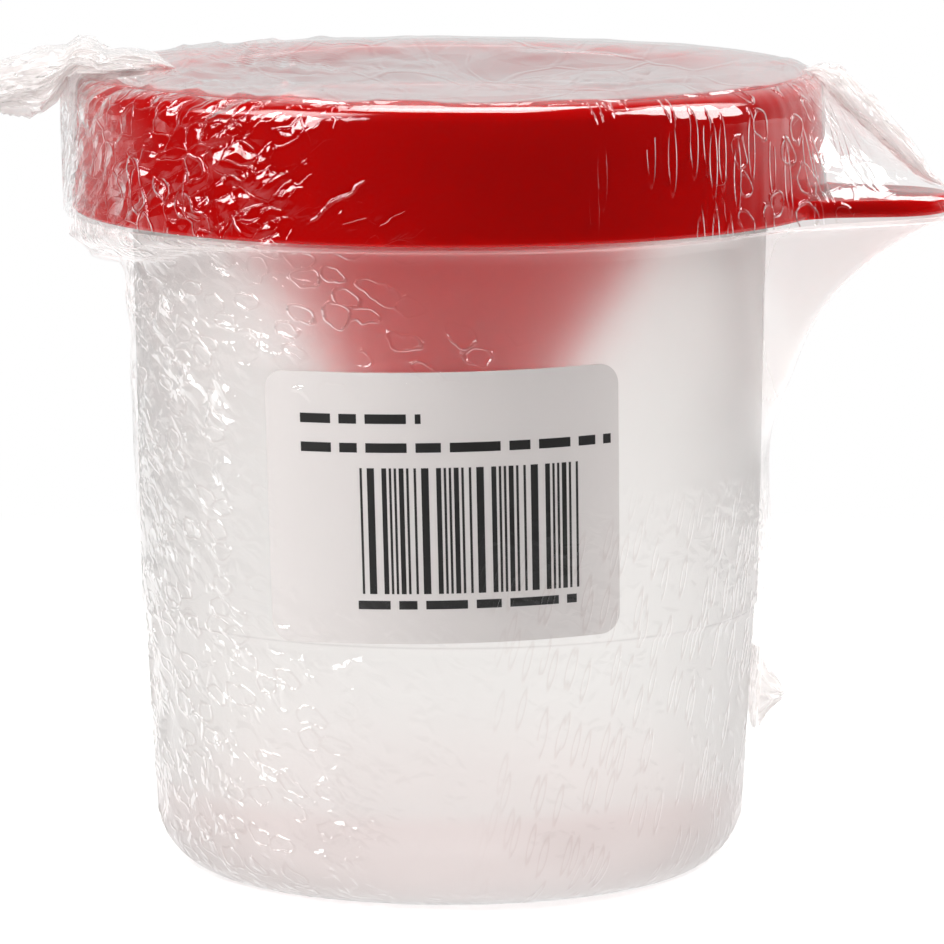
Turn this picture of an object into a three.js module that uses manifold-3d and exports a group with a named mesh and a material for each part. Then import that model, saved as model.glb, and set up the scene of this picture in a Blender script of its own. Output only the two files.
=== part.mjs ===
// Paint cup with a push-fit funnel lid, in millimetres, +Z up.
// The origin is the centre of the base, on the surface that the cup stands on.
// The lid's lift tab points along +X, and the label faces -Y.
import * as THREE from 'three';
import * as BufferGeometryUtils from 'three/addons/utils/BufferGeometryUtils.js';
import Module from 'manifold-3d';

const wasm = await Module();
wasm.setup();

// Overall sizes
const potHeight = 85;
const lidDiameter = 80;

// Lid: rim, skirt and snap bead
const skirtDepth = 14.3;
const skirtDraft = 0.5;
const lidWall = 1.4;
const lidTopThickness = 1.6;
const lidCornerRadius = 1.6;
const mouthRounding = 0.9;
const skirtEdgeRounding = 0.45;
const beadHeight = 2;
const beadFlatHeight = 0.5;
const beadBelowLip = 0.2;

// Lid: plug wall, funnel and spout
const plugDepth = 3.9;
const coneShoulder = 2.1;
const funnelDepth = 39;
const funnelWall = 1.3;
const throatRadius = 8;
const spoutLength = 3;

// Lid: lift tab
const tabThickness = 1.9;
const tabReach = 13;
const tabRootHalfWidth = 8.6;
const tabTipRadius = 7.3;
const tabRootFillet = 3;

// Cup: body
const cupWall = 1.2;
const cupFloor = 1.5;
const baseRadius = 31.3;
const baseCornerRadius = 7;
const ringHeight = 28.3;
const ringRadius = 32.8;
const ringStep = 0.3;

// Cup: stiffening groove in the underside
const grooveRadius = 15;
const grooveWidth = 6;
const grooveDepth = 0.6;
const grooveSlope = 0.8;

// Cup: folded rim that the lid snaps over
const rimThickness = 1.3;
const rimChannelWidth = 2.9;
const lipDepth = 4.9;
const lipWall = 1.1;
const rimRounding = 0.6;

// Label
const labelWidth = 38.1;
const labelHeight = 28.2;
const labelThickness = 0.15;
const labelCornerRadius = 2.2;
const labelAboveRing = 0.4;
const labelTurnDegrees = 4.7;
const labelTiltDegrees = 1.3;

// Fits
const seatGap = 0.3;
const lipGap = 0.3;
const plugGap = 0.3;
const beadGap = 0.15;
const labelGap = 0.15;

// Facets
const turnSteps = 72;
const cornerSteps = 6;
const roundingSteps = 3;
const tipSteps = 14;
const labelSteps = 30;

// Radii and heights that follow from the sizes above
const lidRadius = lidDiameter / 2;
const skirtBottom = potHeight - skirtDepth;
const lidUnderside = potHeight - lidTopThickness;
const lipOuterRadius = lidRadius - skirtDraft - lidWall - lipGap;
const lipInnerRadius = lipOuterRadius - lipWall;
const mouthRadius = lipInnerRadius - rimChannelWidth;
const mouthInnerRadius = mouthRadius - cupWall;
const rimTop = lidUnderside - seatGap;
const rimUnderside = rimTop - rimThickness;
const lipBottom = rimTop - lipDepth;
const plugRadius = mouthInnerRadius - plugGap;
const plugBottom = lidUnderside - plugDepth;
const spoutBottom = potHeight - funnelDepth;
const spoutTop = spoutBottom + spoutLength;
const spoutRadius = throatRadius + funnelWall;
const coneTopRadius = plugRadius - coneShoulder;

const quarter = Math.PI / 2;

// Points of an arc in the radius-height plane, both ends included.
function arcPoints(centreRadius, centreHeight, radius, start, end, steps) {
  const points = [];
  for (let i = 0; i <= steps; i++) {
    const angle = start + ((end - start) * i) / steps;
    points.push([centreRadius + radius * Math.cos(angle), centreHeight + radius * Math.sin(angle)]);
  }
  return points;
}

// Outer radius of the cup's wall above the ring line.
function wallRadiusAt(height) {
  const ringTop = ringHeight + ringStep;
  const share = (height - ringTop) / (rimUnderside - ringTop);
  return ringRadius + (mouthRadius - ringRadius) * share;
}

// Outer radius of the lid's skirt, which narrows towards the top.
function skirtRadiusAt(height) {
  return lidRadius - (skirtDraft * (height - skirtBottom)) / skirtDepth;
}

// Outer radius of the funnel's cone.
function coneRadiusAt(height) {
  const slope = (coneTopRadius - spoutRadius) / (plugBottom - spoutTop);
  return spoutRadius + slope * (height - spoutTop);
}

// Turns a radius-height profile about Z.
function revolve(profile) {
  const points = profile.map(([radius, height]) => new THREE.Vector2(radius, height));
  const geometry = new THREE.LatheGeometry(points, turnSteps);
  geometry.rotateX(quarter);
  return geometry;
}

// A closed geometry as a solid that can be joined and cut.
function toSolid(geometry) {
  const bare = geometry.clone();
  bare.deleteAttribute('normal');
  bare.deleteAttribute('uv');
  const merged = BufferGeometryUtils.mergeVertices(bare);
  return new wasm.Manifold(
    new wasm.Mesh({
      numProp: 3,
      vertProperties: new Float32Array(merged.attributes.position.array),
      triVerts: new Uint32Array(merged.index.array),
    }),
  );
}

function toGeometry(solid) {
  const mesh = solid.getMesh();
  const geometry = new THREE.BufferGeometry();
  geometry.setAttribute('position', new THREE.BufferAttribute(mesh.vertProperties, 3));
  geometry.setIndex(new THREE.BufferAttribute(mesh.triVerts, 1));
  geometry.computeVertexNormals();
  return geometry;
}

// The cup: base with a stiffening groove, large foot radius, ring line and folded rim.
function cupProfile() {
  const cornerCentre = baseRadius - baseCornerRadius;
  const innerCorner = baseCornerRadius - cupWall;
  const grooveInner = grooveRadius - grooveWidth / 2;
  const grooveOuter = grooveRadius + grooveWidth / 2;
  return [
    [0, 0],
    [grooveInner, 0],
    [grooveInner + grooveSlope, grooveDepth],
    [grooveOuter - grooveSlope, grooveDepth],
    [grooveOuter, 0],
    ...arcPoints(cornerCentre, baseCornerRadius, baseCornerRadius, -quarter, 0, cornerSteps),
    [ringRadius - ringStep, ringHeight],
    [ringRadius, ringHeight + ringStep],
    [mouthRadius, rimUnderside],
    [lipInnerRadius, rimUnderside],
    [lipInnerRadius, lipBottom],
    [lipOuterRadius, lipBottom],
    ...arcPoints(lipOuterRadius - rimRounding, rimTop - rimRounding, rimRounding, 0, quarter, roundingSteps),
    ...arcPoints(
      mouthInnerRadius + rimRounding,
      rimTop - rimRounding,
      rimRounding,
      quarter,
      2 * quarter,
      roundingSteps,
    ),
    [ringRadius - cupWall, ringHeight + ringStep],
    ...arcPoints(cornerCentre, cupFloor + innerCorner, innerCorner, 0, -quarter, cornerSteps),
    [0, cupFloor],
  ];
}

// The lid's revolved body: skirt with a snap bead, flat rim, plug wall, funnel and spout.
function lidProfile() {
  const cornerRadius = skirtRadiusAt(potHeight - lidCornerRadius) - lidCornerRadius;
  const skirtEdge = skirtRadiusAt(skirtBottom);
  const skirtInnerEdge = skirtEdge - lidWall;
  const beadTop = lipBottom - beadBelowLip;
  const beadBottom = beadTop - beadHeight;
  const beadSlope = (beadHeight - beadFlatHeight) / 2;
  const beadRadius = lipOuterRadius + beadGap;
  const plugInner = plugRadius - lidWall;
  const shoulder = plugBottom + lidWall;
  const coneDrop = plugBottom - spoutTop;
  const coneRun = coneTopRadius - spoutRadius;
  const coneWallAcross = (funnelWall * Math.hypot(coneRun, coneDrop)) / coneDrop;
  const throatTop = spoutTop + ((throatRadius + coneWallAcross - spoutRadius) * coneDrop) / coneRun;
  return [
    ...arcPoints(
      skirtEdge - skirtEdgeRounding,
      skirtBottom + skirtEdgeRounding,
      skirtEdgeRounding,
      -quarter,
      0,
      roundingSteps,
    ),
    ...arcPoints(cornerRadius, potHeight - lidCornerRadius, lidCornerRadius, 0, quarter, roundingSteps + 1),
    ...arcPoints(
      plugInner + mouthRounding,
      potHeight - mouthRounding,
      mouthRounding,
      quarter,
      2 * quarter,
      roundingSteps,
    ),
    [plugInner, shoulder],
    [coneRadiusAt(shoulder) - coneWallAcross, shoulder],
    [throatRadius, throatTop],
    [throatRadius, spoutBottom],
    [spoutRadius, spoutBottom],
    [spoutRadius, spoutTop],
    [coneTopRadius, plugBottom],
    [plugRadius, plugBottom],
    [plugRadius, lidUnderside],
    [skirtRadiusAt(lidUnderside) - lidWall, lidUnderside],
    [skirtRadiusAt(beadTop) - lidWall, beadTop],
    [beadRadius, beadTop - beadSlope],
    [beadRadius, beadBottom + beadSlope],
    [skirtRadiusAt(beadBottom) - lidWall, beadBottom],
    [skirtInnerEdge, skirtBottom],
    [skirtEdge - skirtEdgeRounding, skirtBottom],
  ];
}

// The lift tab: a flat tongue with a round tip, level with the skirt's lower edge.
function tabGeometry() {
  const rootRadius = lidRadius - lidWall / 2;
  const tipCentre = lidRadius + tabReach - tabTipRadius;
  const lean = Math.atan2(tabRootHalfWidth - tabTipRadius, tipCentre - lidRadius);
  const tangentX = tipCentre + tabTipRadius * Math.sin(lean);
  const tangentY = tabTipRadius * Math.cos(lean);
  const sideAt = (x) => tangentY + (tangentX - x) * Math.tan(lean);
  const skirtX = Math.sqrt(lidRadius ** 2 - tabRootHalfWidth ** 2);
  const filletEnd = skirtX + tabRootFillet;
  const rootHalfWidth = tabRootHalfWidth + tabRootFillet;
  const rootX = Math.sqrt(rootRadius ** 2 - rootHalfWidth ** 2);
  const rootAngle = Math.atan2(rootHalfWidth, rootX);
  const outline = new THREE.Shape();
  outline.moveTo(rootX, -rootHalfWidth);
  outline.quadraticCurveTo(skirtX, -sideAt(skirtX), filletEnd, -sideAt(filletEnd));
  outline.lineTo(tangentX, -tangentY);
  outline.absarc(tipCentre, 0, tabTipRadius, lean - quarter, quarter - lean, false);
  outline.lineTo(filletEnd, sideAt(filletEnd));
  outline.quadraticCurveTo(skirtX, sideAt(skirtX), rootX, rootHalfWidth);
  outline.absarc(0, 0, rootRadius, rootAngle, -rootAngle, true);
  const geometry = new THREE.ExtrudeGeometry(outline, {
    depth: tabThickness,
    bevelEnabled: false,
    curveSegments: tipSteps,
  });
  geometry.translate(0, 0, skirtBottom);
  return geometry;
}

// The label: a thin sheet with round corners, wrapped round the tapered wall and set on a slight tilt.
function labelGeometry() {
  const tilt = THREE.MathUtils.degToRad(labelTiltDegrees);
  const turn = THREE.MathUtils.degToRad(labelTurnDegrees) - quarter;
  const middle = ringHeight + ringStep + labelAboveRing + labelHeight / 2;
  const wrapRadius = wallRadiusAt(middle) + labelGap;
  const halfWidth = labelWidth / 2;
  const straightHalf = halfWidth - labelCornerRadius;
  const positions = [];
  // One corner of the sheet's section: across and up are measured on the flat sheet.
  const place = (across, up, lift) => {
    const height = middle + across * Math.sin(tilt) + up * Math.cos(tilt);
    const angle = turn + (across * Math.cos(tilt) - up * Math.sin(tilt)) / wrapRadius;
    const radius = wallRadiusAt(height) + labelGap + lift;
    positions.push(radius * Math.cos(angle), radius * Math.sin(angle), height);
  };
  const columns = [];
  for (let i = 0; i <= cornerSteps; i++) {
    columns.push(-straightHalf - labelCornerRadius * Math.cos((quarter * i) / cornerSteps));
  }
  for (let i = 1; i < labelSteps; i++) {
    columns.push(straightHalf * ((2 * i) / labelSteps - 1));
  }
  for (let i = cornerSteps; i >= 0; i--) {
    columns.push(straightHalf + labelCornerRadius * Math.cos((quarter * i) / cornerSteps));
  }
  for (const across of columns) {
    const past = Math.max(0, Math.abs(across) - straightHalf);
    const corner = labelCornerRadius - Math.sqrt(Math.max(0, labelCornerRadius ** 2 - past ** 2));
    const up = labelHeight / 2 - corner;
    place(across, -up, 0);
    place(across, -up, labelThickness);
    place(across, up, labelThickness);
    place(across, up, 0);
  }
  const index = [];
  for (let i = 0; i + 1 < columns.length; i++) {
    for (let j = 0; j < 4; j++) {
      const a = 4 * i + j;
      const b = 4 * i + ((j + 1) % 4);
      index.push(a, a + 4, b, b, a + 4, b + 4);
    }
  }
  const last = positions.length / 3 - 4;
  index.push(0, 1, 2, 0, 2, 3);
  index.push(last, last + 2, last + 1, last, last + 3, last + 2);
  const geometry = new THREE.BufferGeometry();
  geometry.setAttribute('position', new THREE.Float32BufferAttribute(positions, 3));
  geometry.setIndex(index);
  geometry.computeVertexNormals();
  return geometry;
}

const cupMaterial = new THREE.MeshStandardMaterial({
  color: 0xe9e6e3,
  roughness: 0.35,
  metalness: 0,
  transparent: true,
  opacity: 0.55,
});
const lidMaterial = new THREE.MeshStandardMaterial({ color: 0xb40a08, roughness: 0.22, metalness: 0 });
const labelMaterial = new THREE.MeshStandardMaterial({ color: 0xcdc8c6, roughness: 0.6, metalness: 0 });

const cup = new THREE.Mesh(revolve(cupProfile()), cupMaterial);
cup.name = 'cup';

const lidSolid = toSolid(revolve(lidProfile())).add(toSolid(tabGeometry()));
const lid = new THREE.Mesh(toGeometry(lidSolid), lidMaterial);
lid.name = 'lid';

const label = new THREE.Mesh(labelGeometry(), labelMaterial);
label.name = 'label';

const paintCup = new THREE.Group();
paintCup.add(cup, lid, label);

export default paintCup;
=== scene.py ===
# Paint cup with a push-fit funnel lid: finish, print, shrink wrap, studio and camera.
# Lengths in the dictionaries are millimetres, angles are degrees round +Z from +X.
import math

import bmesh
import bpy
from mathutils import Matrix, Vector, noise


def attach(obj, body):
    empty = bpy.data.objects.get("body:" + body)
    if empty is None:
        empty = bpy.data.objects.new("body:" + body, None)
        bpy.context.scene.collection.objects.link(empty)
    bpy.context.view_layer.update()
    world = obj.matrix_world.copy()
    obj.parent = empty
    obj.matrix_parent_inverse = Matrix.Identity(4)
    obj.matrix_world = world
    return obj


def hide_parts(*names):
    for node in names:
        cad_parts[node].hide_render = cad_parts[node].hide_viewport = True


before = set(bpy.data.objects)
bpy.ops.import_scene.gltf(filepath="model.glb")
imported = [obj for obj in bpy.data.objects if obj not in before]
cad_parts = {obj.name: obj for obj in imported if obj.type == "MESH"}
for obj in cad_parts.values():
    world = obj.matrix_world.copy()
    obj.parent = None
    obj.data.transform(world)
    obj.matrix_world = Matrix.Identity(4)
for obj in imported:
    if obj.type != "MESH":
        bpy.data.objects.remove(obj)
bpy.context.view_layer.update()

mm = 0.001
fullTurn = 2 * math.pi
quarterTurn = math.pi / 2
viewTurn = 6.0  # how far the photographer's view is turned round the cup from straight on
sharpAngle = 32.0  # edges bent by more than this stay crisp
white = (1, 1, 1, 1)


def fade(value, band):
    # 0 before the band's first value, 1 past its second, smooth between them
    low, high = band
    share = min(1.0, max(0.0, (value - low) / (high - low)))
    return share * share * (3 - 2 * share)


def hump(value, place):
    # 1 at the middle, falling away smoothly over the half width
    middle, half = place
    return math.exp(-(((value - middle) / half) ** 2))


def finishMesh(name, bm, material, sharp=sharpAngle):
    mesh = bpy.data.meshes.new(name)
    bm.to_mesh(mesh)
    bm.free()
    mesh.shade_smooth()
    if sharp:
        mesh.set_sharp_from_angle(angle=math.radians(sharp))
    mesh.materials.append(material)
    piece = bpy.data.objects.new(name, mesh)
    bpy.context.scene.collection.objects.link(piece)
    return piece


def addWire(bm, points):
    # points are (radius, height)
    verts = [bm.verts.new((radius * mm, 0, height * mm)) for radius, height in points]
    for first, second in zip(verts, verts[1:]):
        bm.edges.new((first, second))
    return verts


def easeCorners(bm, geom, size, segments, kind="VERTICES"):
    bmesh.ops.bevel(
        bm,
        geom=geom,
        offset=size * mm,
        offset_type="OFFSET",
        segments=segments,
        profile=0.5,
        affect=kind,
        material=-1,
    )


def spinRound(bm, steps):
    bmesh.ops.spin(
        bm,
        geom=bm.verts[:] + bm.edges[:],
        cent=(0, 0, 0),
        axis=(0, 0, 1),
        angle=fullTurn,
        steps=steps,
        use_merge=True,
    )


def closeSpin(bm):
    bmesh.ops.remove_doubles(bm, verts=bm.verts, dist=0.002 * mm)
    bmesh.ops.recalc_face_normals(bm, faces=bm.faces)


def spinProfile(points, roundings, steps, closed):
    # roundings are (indices, size, segments)
    bm = bmesh.new()
    verts = addWire(bm, points)
    if closed:
        bm.edges.new((verts[-1], verts[0]))
    for indices, size, segments in roundings:
        easeCorners(bm, [verts[i] for i in indices], size, segments)
    spinRound(bm, steps)
    closeSpin(bm)
    return bm


def newMaterial(name):
    material = bpy.data.materials.new(name)
    material.use_nodes = True
    material.node_tree.nodes.clear()
    return material, material.node_tree


def feed(tree, socket, value):
    # a value is a number, a colour or the output that drives the socket
    if isinstance(value, bpy.types.NodeSocket):
        tree.links.new(value, socket)
    else:
        socket.default_value = value


def addNode(tree, kind, settings=None, **inputs):
    node = tree.nodes.new("ShaderNode" + kind)
    for key, value in (settings or {}).items():
        setattr(node, key, value)
    for key, value in inputs.items():
        feed(tree, node.inputs[key.replace("_", " ")], value)
    return node


def mathNode(tree, operation, first, second=None, clamp=False):
    node = addNode(tree, "Math", {"operation": operation, "use_clamp": clamp})
    feed(tree, node.inputs[0], first)
    if second is not None:
        feed(tree, node.inputs[1], second)
    return node.outputs[0]


def combine(tree, operation, values):
    result = values[0]
    for value in values[1:]:
        result = mathNode(tree, operation, result, value)
    return result


def total(tree, *values):
    return combine(tree, "ADD", values)


def product(tree, *values):
    return combine(tree, "MULTIPLY", values)


def metres(lengths):
    return [length * mm for length in lengths]


def fadeNode(tree, value, band, levels=(0.0, 1.0), kind="SMOOTHSTEP"):
    # runs from the first level to the second as the value crosses the band
    node = addNode(
        tree,
        "MapRange",
        {"interpolation_type": kind},
        Value=value,
        From_Min=band[0],
        From_Max=band[1],
        To_Min=levels[0],
        To_Max=levels[1],
    )
    return node.outputs["Result"]


def ridgeNode(tree, value, middle, width):
    # a rounded ridge where the value is near the middle
    away = mathNode(tree, "ABSOLUTE", mathNode(tree, "SUBTRACT", value, middle))
    return fadeNode(tree, away, (0.0, width), (1.0, 0.0))


def mixNode(tree, kind, share, first, second, blend="MIX"):
    node = addNode(tree, "Mix", {"data_type": kind, "blend_type": blend})
    firstSocket, outSocket = {"FLOAT": (2, 0), "RGBA": (6, 2)}[kind]
    feed(tree, node.inputs[0], share)
    feed(tree, node.inputs[firstSocket], first)
    feed(tree, node.inputs[firstSocket + 1], second)
    return node.outputs[outSocket]


def mixShaders(tree, share, first, second=None):
    # without a second shader the first one is mixed with black
    node = addNode(tree, "MixShader", Fac=share)
    for socket, shader in zip(node.inputs[1:], (first, second)):
        if shader:
            tree.links.new(shader, socket)
    return node.outputs[0]


def addShaders(tree, first, second):
    node = addNode(tree, "AddShader")
    tree.links.new(first, node.inputs[0])
    tree.links.new(second, node.inputs[1])
    return node.outputs[0]


def axesOf(tree, vector):
    return addNode(tree, "SeparateXYZ", Vector=vector).outputs


def lengthOf(tree, vector):
    return addNode(tree, "VectorMath", {"operation": "LENGTH"}, Vector=vector).outputs["Value"]


def objectSpot(tree):
    return addNode(tree, "TexCoord").outputs["Object"]


def grainNormal(tree, place, grain):
    # grain is (scale, detail, strength, depth)
    scale, detail, strength, depth = grain
    rise = addNode(tree, "TexNoise", Vector=place, Scale=scale, Detail=detail).outputs["Fac"]
    return addNode(tree, "Bump", Strength=strength, Distance=depth * mm, Height=rise).outputs["Normal"]


# Camera, set where the photograph was taken from
cameraSetup = {
    "distance": 895.2,
    "height": 169.7,
    "pitch": 8.111,
    "pan": 0.1516,
    "lens": 323.8,
    "sensor": 36.0,
    "clip": (0.01, 20),
}


def makeCamera(setup):
    data = bpy.data.cameras.new("photoCamera")
    data.sensor_width = setup["sensor"]
    data.lens = setup["lens"]
    data.clip_start, data.clip_end = setup["clip"]
    camera = bpy.data.objects.new("photoCamera", data)
    turn = Matrix.Rotation(math.radians(viewTurn), 4, "Z")
    camera.location = turn @ Vector((0, -setup["distance"] * mm, setup["height"] * mm))
    camera.rotation_euler = (math.radians(90 - setup["pitch"]), 0, math.radians(viewTurn - setup["pan"]))
    bpy.context.scene.collection.objects.link(camera)
    bpy.context.scene.camera = camera


makeCamera(cameraSetup)
bpy.context.scene.view_settings.view_transform = "Standard"
print("camera ready")


# Lamps: place and aim in the photographer's frame, x right, y away, z up
lampSetup = {
    "rightPanel": {"place": (770, 30, 640), "aim": (0, 0, 60), "size": (400, 720), "power": 11.0},
    "leftPanel": {"place": (-620, -390, 620), "aim": (0, 0, 60), "size": (340, 620), "power": 10.0},
    "topPanel": {"place": (40, 180, 1000), "aim": (0, 0, 60), "size": (480, 480), "power": 6.0},
    "leftSpark": {"place": (-800, -200, 350), "aim": (0, 0, 60), "size": (230, 290), "power": 3.0},
    "leftTall": {"place": (-470, -560, 640), "aim": (0, 0, 60), "size": (150, 640), "power": 2.8},
}
mirroredOnly = ("leftSpark", "leftTall")  # lamps that only show as glints in shiny surfaces
worldSetup = {
    "diffuse": 0.22,
    "passed": 1.18,
    "gloss": (0.02, 0.72),
    "glossTurn": (0.28, 0.92),
}


def makeLamps(setups):
    turn = Matrix.Rotation(math.radians(viewTurn), 4, "Z")
    for name, setup in setups.items():
        data = bpy.data.lights.new(name, "AREA")
        data.shape = "RECTANGLE"
        data.size, data.size_y = (side * mm for side in setup["size"])
        data.energy = setup["power"]
        lamp = bpy.data.objects.new(name, data)
        place = turn @ (Vector(setup["place"]) * mm)
        aim = turn @ (Vector(setup["aim"]) * mm)
        lamp.location = place
        lamp.rotation_euler = (aim - place).to_track_quat("-Z", "Y").to_euler()
        lamp.visible_camera = False
        lamp.visible_diffuse = name not in mirroredOnly
        lamp.visible_transmission = name not in mirroredOnly
        bpy.context.scene.collection.objects.link(lamp)


def backLight(tree, strength):
    return addNode(tree, "Background", Color=white, Strength=strength).outputs[0]


def makeWorld(setup):
    world = bpy.data.worlds.new("studioWorld")
    bpy.context.scene.world = world
    world.use_nodes = True
    tree = world.node_tree
    tree.nodes.clear()
    path = addNode(tree, "LightPath").outputs
    ahead = axesOf(tree, addNode(tree, "TexCoord").outputs["Generated"])["Y"]
    gloss = backLight(tree, fadeNode(tree, ahead, setup["glossTurn"], setup["gloss"]))
    light = mixShaders(tree, path["Is Glossy Ray"], backLight(tree, setup["diffuse"]), gloss)
    light = mixShaders(tree, path["Is Transmission Ray"], light, backLight(tree, setup["passed"]))
    light = mixShaders(tree, path["Is Camera Ray"], light, backLight(tree, 1.0))
    addNode(tree, "OutputWorld", Surface=light)


makeLamps(lampSetup)
makeWorld(worldSetup)
print("lamps and world ready")


# Floor: a pale disc that takes the cup's shadow and fades into the white background.
# Shiny surfaces see it dark on the photographer's side, as in a studio with a black card.
floorSetup = {
    "radius": 2500,
    "segments": 64,
    "albedo": 0.8,
    "glow": 0.6,
    "fade": (90, 260),
    "passed": (1.16, 1.12),
    "passedBand": (-90, 90),
    "near": (-260, 120),
    "far": (0, 650),
    "farBand": (200, 340),
    "mirrored": (0.02, 1.0),
}


def glowShader(tree, strength):
    return addNode(tree, "Emission", Color=white, Strength=strength).outputs[0]


def makeFloor(setup):
    material, tree = newMaterial("floorPaper")
    path = addNode(tree, "LightPath").outputs
    spot = objectSpot(tree)
    distance = lengthOf(tree, spot)
    axes = axesOf(tree, spot)
    paper = addNode(tree, "BsdfDiffuse", Color=(setup["albedo"],) * 3 + (1,)).outputs[0]
    lit = addShaders(tree, paper, glowShader(tree, setup["glow"]))
    seen = mixShaders(tree, fadeNode(tree, distance, metres(setup["fade"])), lit, glowShader(tree, 1.0))
    near = fadeNode(tree, axes["Y"], metres(setup["near"]), setup["mirrored"])
    far = fadeNode(tree, axes["Y"], metres(setup["far"]), setup["mirrored"])
    mirrored = mixNode(tree, "FLOAT", fadeNode(tree, distance, metres(setup["farBand"])), near, far)
    passed = fadeNode(tree, axes["X"], metres(setup["passedBand"]), setup["passed"], "LINEAR")
    light = mixShaders(tree, path["Is Camera Ray"], paper, seen)
    light = mixShaders(tree, path["Is Transmission Ray"], light, glowShader(tree, passed))
    bounced = mathNode(tree, "SUBTRACT", 1.0, path["Is Transmission Ray"])
    glossy = product(tree, bounced, path["Is Glossy Ray"])
    light = mixShaders(tree, glossy, light, glowShader(tree, mirrored))
    addNode(tree, "OutputMaterial", Surface=light)
    bm = bmesh.new()
    bmesh.ops.create_circle(bm, cap_ends=True, segments=setup["segments"], radius=setup["radius"] * mm)
    floor = finishMesh("floorDisc", bm, material, 0)


makeFloor(floorSetup)
print("floor ready")


# Cup: frosted polypropylene, thin walled, with a folded rim
cupSetup = {
    "steps": 224,
    "wall": 1.2,
    "floorThickness": 1.5,
    "baseRadius": 31.3,
    "cornerRadius": 7.0,
    "ringHeight": 28.3,
    "ringRadius": 32.8,
    "ringStep": 0.3,
    "mouthRadius": 33.8,
    "rimTop": 83.1,
    "rimThickness": 1.3,
    "lipInner": 36.7,
    "lipOuter": 37.8,
    "lipDepth": 4.9,
    "rimRounding": 0.6,
    "lipRounding": 0.3,
    "underRounding": 0.5,
    "ringRounding": 0.12,
    "groove": (12.0, 12.8, 17.2, 18.0, 0.6),
}
cupFinish = {
    "color": (0.938, 0.932, 0.922, 1),
    # painted light: pink at the foot of the cup, for red light from the funnel, up to the band below
    "paintedRedLight": (0.92, 0.86, 0.85, 1),
    "paintedRedLightTop": (9.0, 11.5),
    # painted shade: a grey line along the small step low on the wall
    "ringShadeLine": (28.4, 0.16, 0.8),  # height, half width, brightness
    "roughness": 0.36,
    "ior": 1.4,
    "transmission": 0.97,
    "grain": (260.0, 2.0, 0.03, 0.2),
}


def cupMaterial(finish):
    material, tree = newMaterial("frostedPolypropylene")
    spot = objectSpot(tree)
    height = axesOf(tree, spot)["Z"]
    # painted light: a pink tint at the foot of the cup stands in for red light that comes down through the
    # funnel
    rise = fadeNode(tree, height, metres(finish["paintedRedLightTop"]))
    tone = mixNode(tree, "RGBA", rise, finish["paintedRedLight"], finish["color"])
    # painted shade: a grey line where the small step low on the wall bends the light away
    middle, half, level = finish["ringShadeLine"]
    line = ridgeNode(tree, height, middle * mm, half * mm)
    tone = mixNode(tree, "RGBA", line, tone, (level, level, level, 1), "MULTIPLY")
    plastic = addNode(
        tree,
        "BsdfPrincipled",
        {"distribution": "MULTI_GGX"},
        Base_Color=tone,
        Roughness=finish["roughness"],
        IOR=finish["ior"],
        Transmission_Weight=finish["transmission"],
        Normal=grainNormal(tree, spot, finish["grain"]),
    )
    addNode(tree, "OutputMaterial", Surface=plastic.outputs[0])
    return material


def makeCup(setup, finish):
    wall = setup["wall"]
    corner = setup["cornerRadius"]
    rimUnder = setup["rimTop"] - setup["rimThickness"]
    lipBottom = setup["rimTop"] - setup["lipDepth"]
    ringTop = setup["ringHeight"] + setup["ringStep"]
    grooveIn, slopeIn, slopeOut, grooveOut, grooveDepth = setup["groove"]
    # the walls lean out from the foot's rounding, so their lines meet the base a little further in
    outward = (setup["ringRadius"] - setup["ringStep"] - setup["baseRadius"]) / (setup["ringHeight"] - corner)
    inward = (setup["ringRadius"] - setup["baseRadius"]) / (setup["ringHeight"] - corner)
    footRadius = setup["baseRadius"] - corner * outward
    innerFoot = setup["baseRadius"] - wall - (corner - wall) * inward
    points = [
        (0, 0),
        (grooveIn, 0),
        (slopeIn, grooveDepth),
        (slopeOut, grooveDepth),
        (grooveOut, 0),
        (footRadius, 0),
        (setup["ringRadius"] - setup["ringStep"], setup["ringHeight"]),
        (setup["ringRadius"], ringTop),
        (setup["mouthRadius"], rimUnder),
        (setup["lipInner"], rimUnder),
        (setup["lipInner"], lipBottom),
        (setup["lipOuter"], lipBottom),
        (setup["lipOuter"], setup["rimTop"]),
        (setup["mouthRadius"] - wall, setup["rimTop"]),
        (setup["ringRadius"] - wall, ringTop),
        (innerFoot, setup["floorThickness"]),
        (0, setup["floorThickness"]),
    ]
    roundings = [
        ([5], corner, 14),
        ([15], corner - wall, 12),
        ([12, 13], setup["rimRounding"], 5),
        ([10, 11], setup["lipRounding"], 2),
        ([8, 9], setup["underRounding"], 3),
        ([6, 7], setup["ringRounding"], 2),
    ]
    bm = spinProfile(points, roundings, setup["steps"], False)
    cup = finishMesh("cupShell", bm, cupMaterial(finish))
    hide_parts("cup")
    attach(cup, "cup_body")


makeCup(cupSetup, cupFinish)
print("cup ready")


# Lid: one glossy moulding with skirt, snap bead, funnel, spout and lift tab
lidSetup = {
    "steps": 224,
    "height": 85.0,
    "radius": 40.0,
    "skirtDepth": 14.3,
    "draft": 0.5,
    "wall": 1.4,
    "topThickness": 1.6,
    "cornerRadius": 1.6,
    "mouthRounding": 0.9,
    "edgeRounding": 0.45,
    "innerRounding": 0.3,
    "funnelRounding": 0.4,
    "beadRounding": 0.2,
    "beadTop": 78.0,
    "beadHeight": 2.0,
    "beadFlat": 0.5,
    "beadRadius": 37.95,
    "plugRadius": 32.3,
    "plugBottom": 79.5,
    "coneTopRadius": 30.2,
    "funnelWall": 1.3,
    "throatRadius": 8.0,
    "spoutBottom": 46.0,
    "spoutTop": 49.0,
    "tabThickness": 1.9,
    "tabReach": 13.0,
    "tabRootHalf": 8.6,
    "tabTipRadius": 7.3,
    "tabRootFillet": 3.0,
    "tabEdge": 0.35,
    "tabEdgeFrom": 0.5,
    "tabSteps": {"side": 8, "tip": 16, "root": 6},
}
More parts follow.
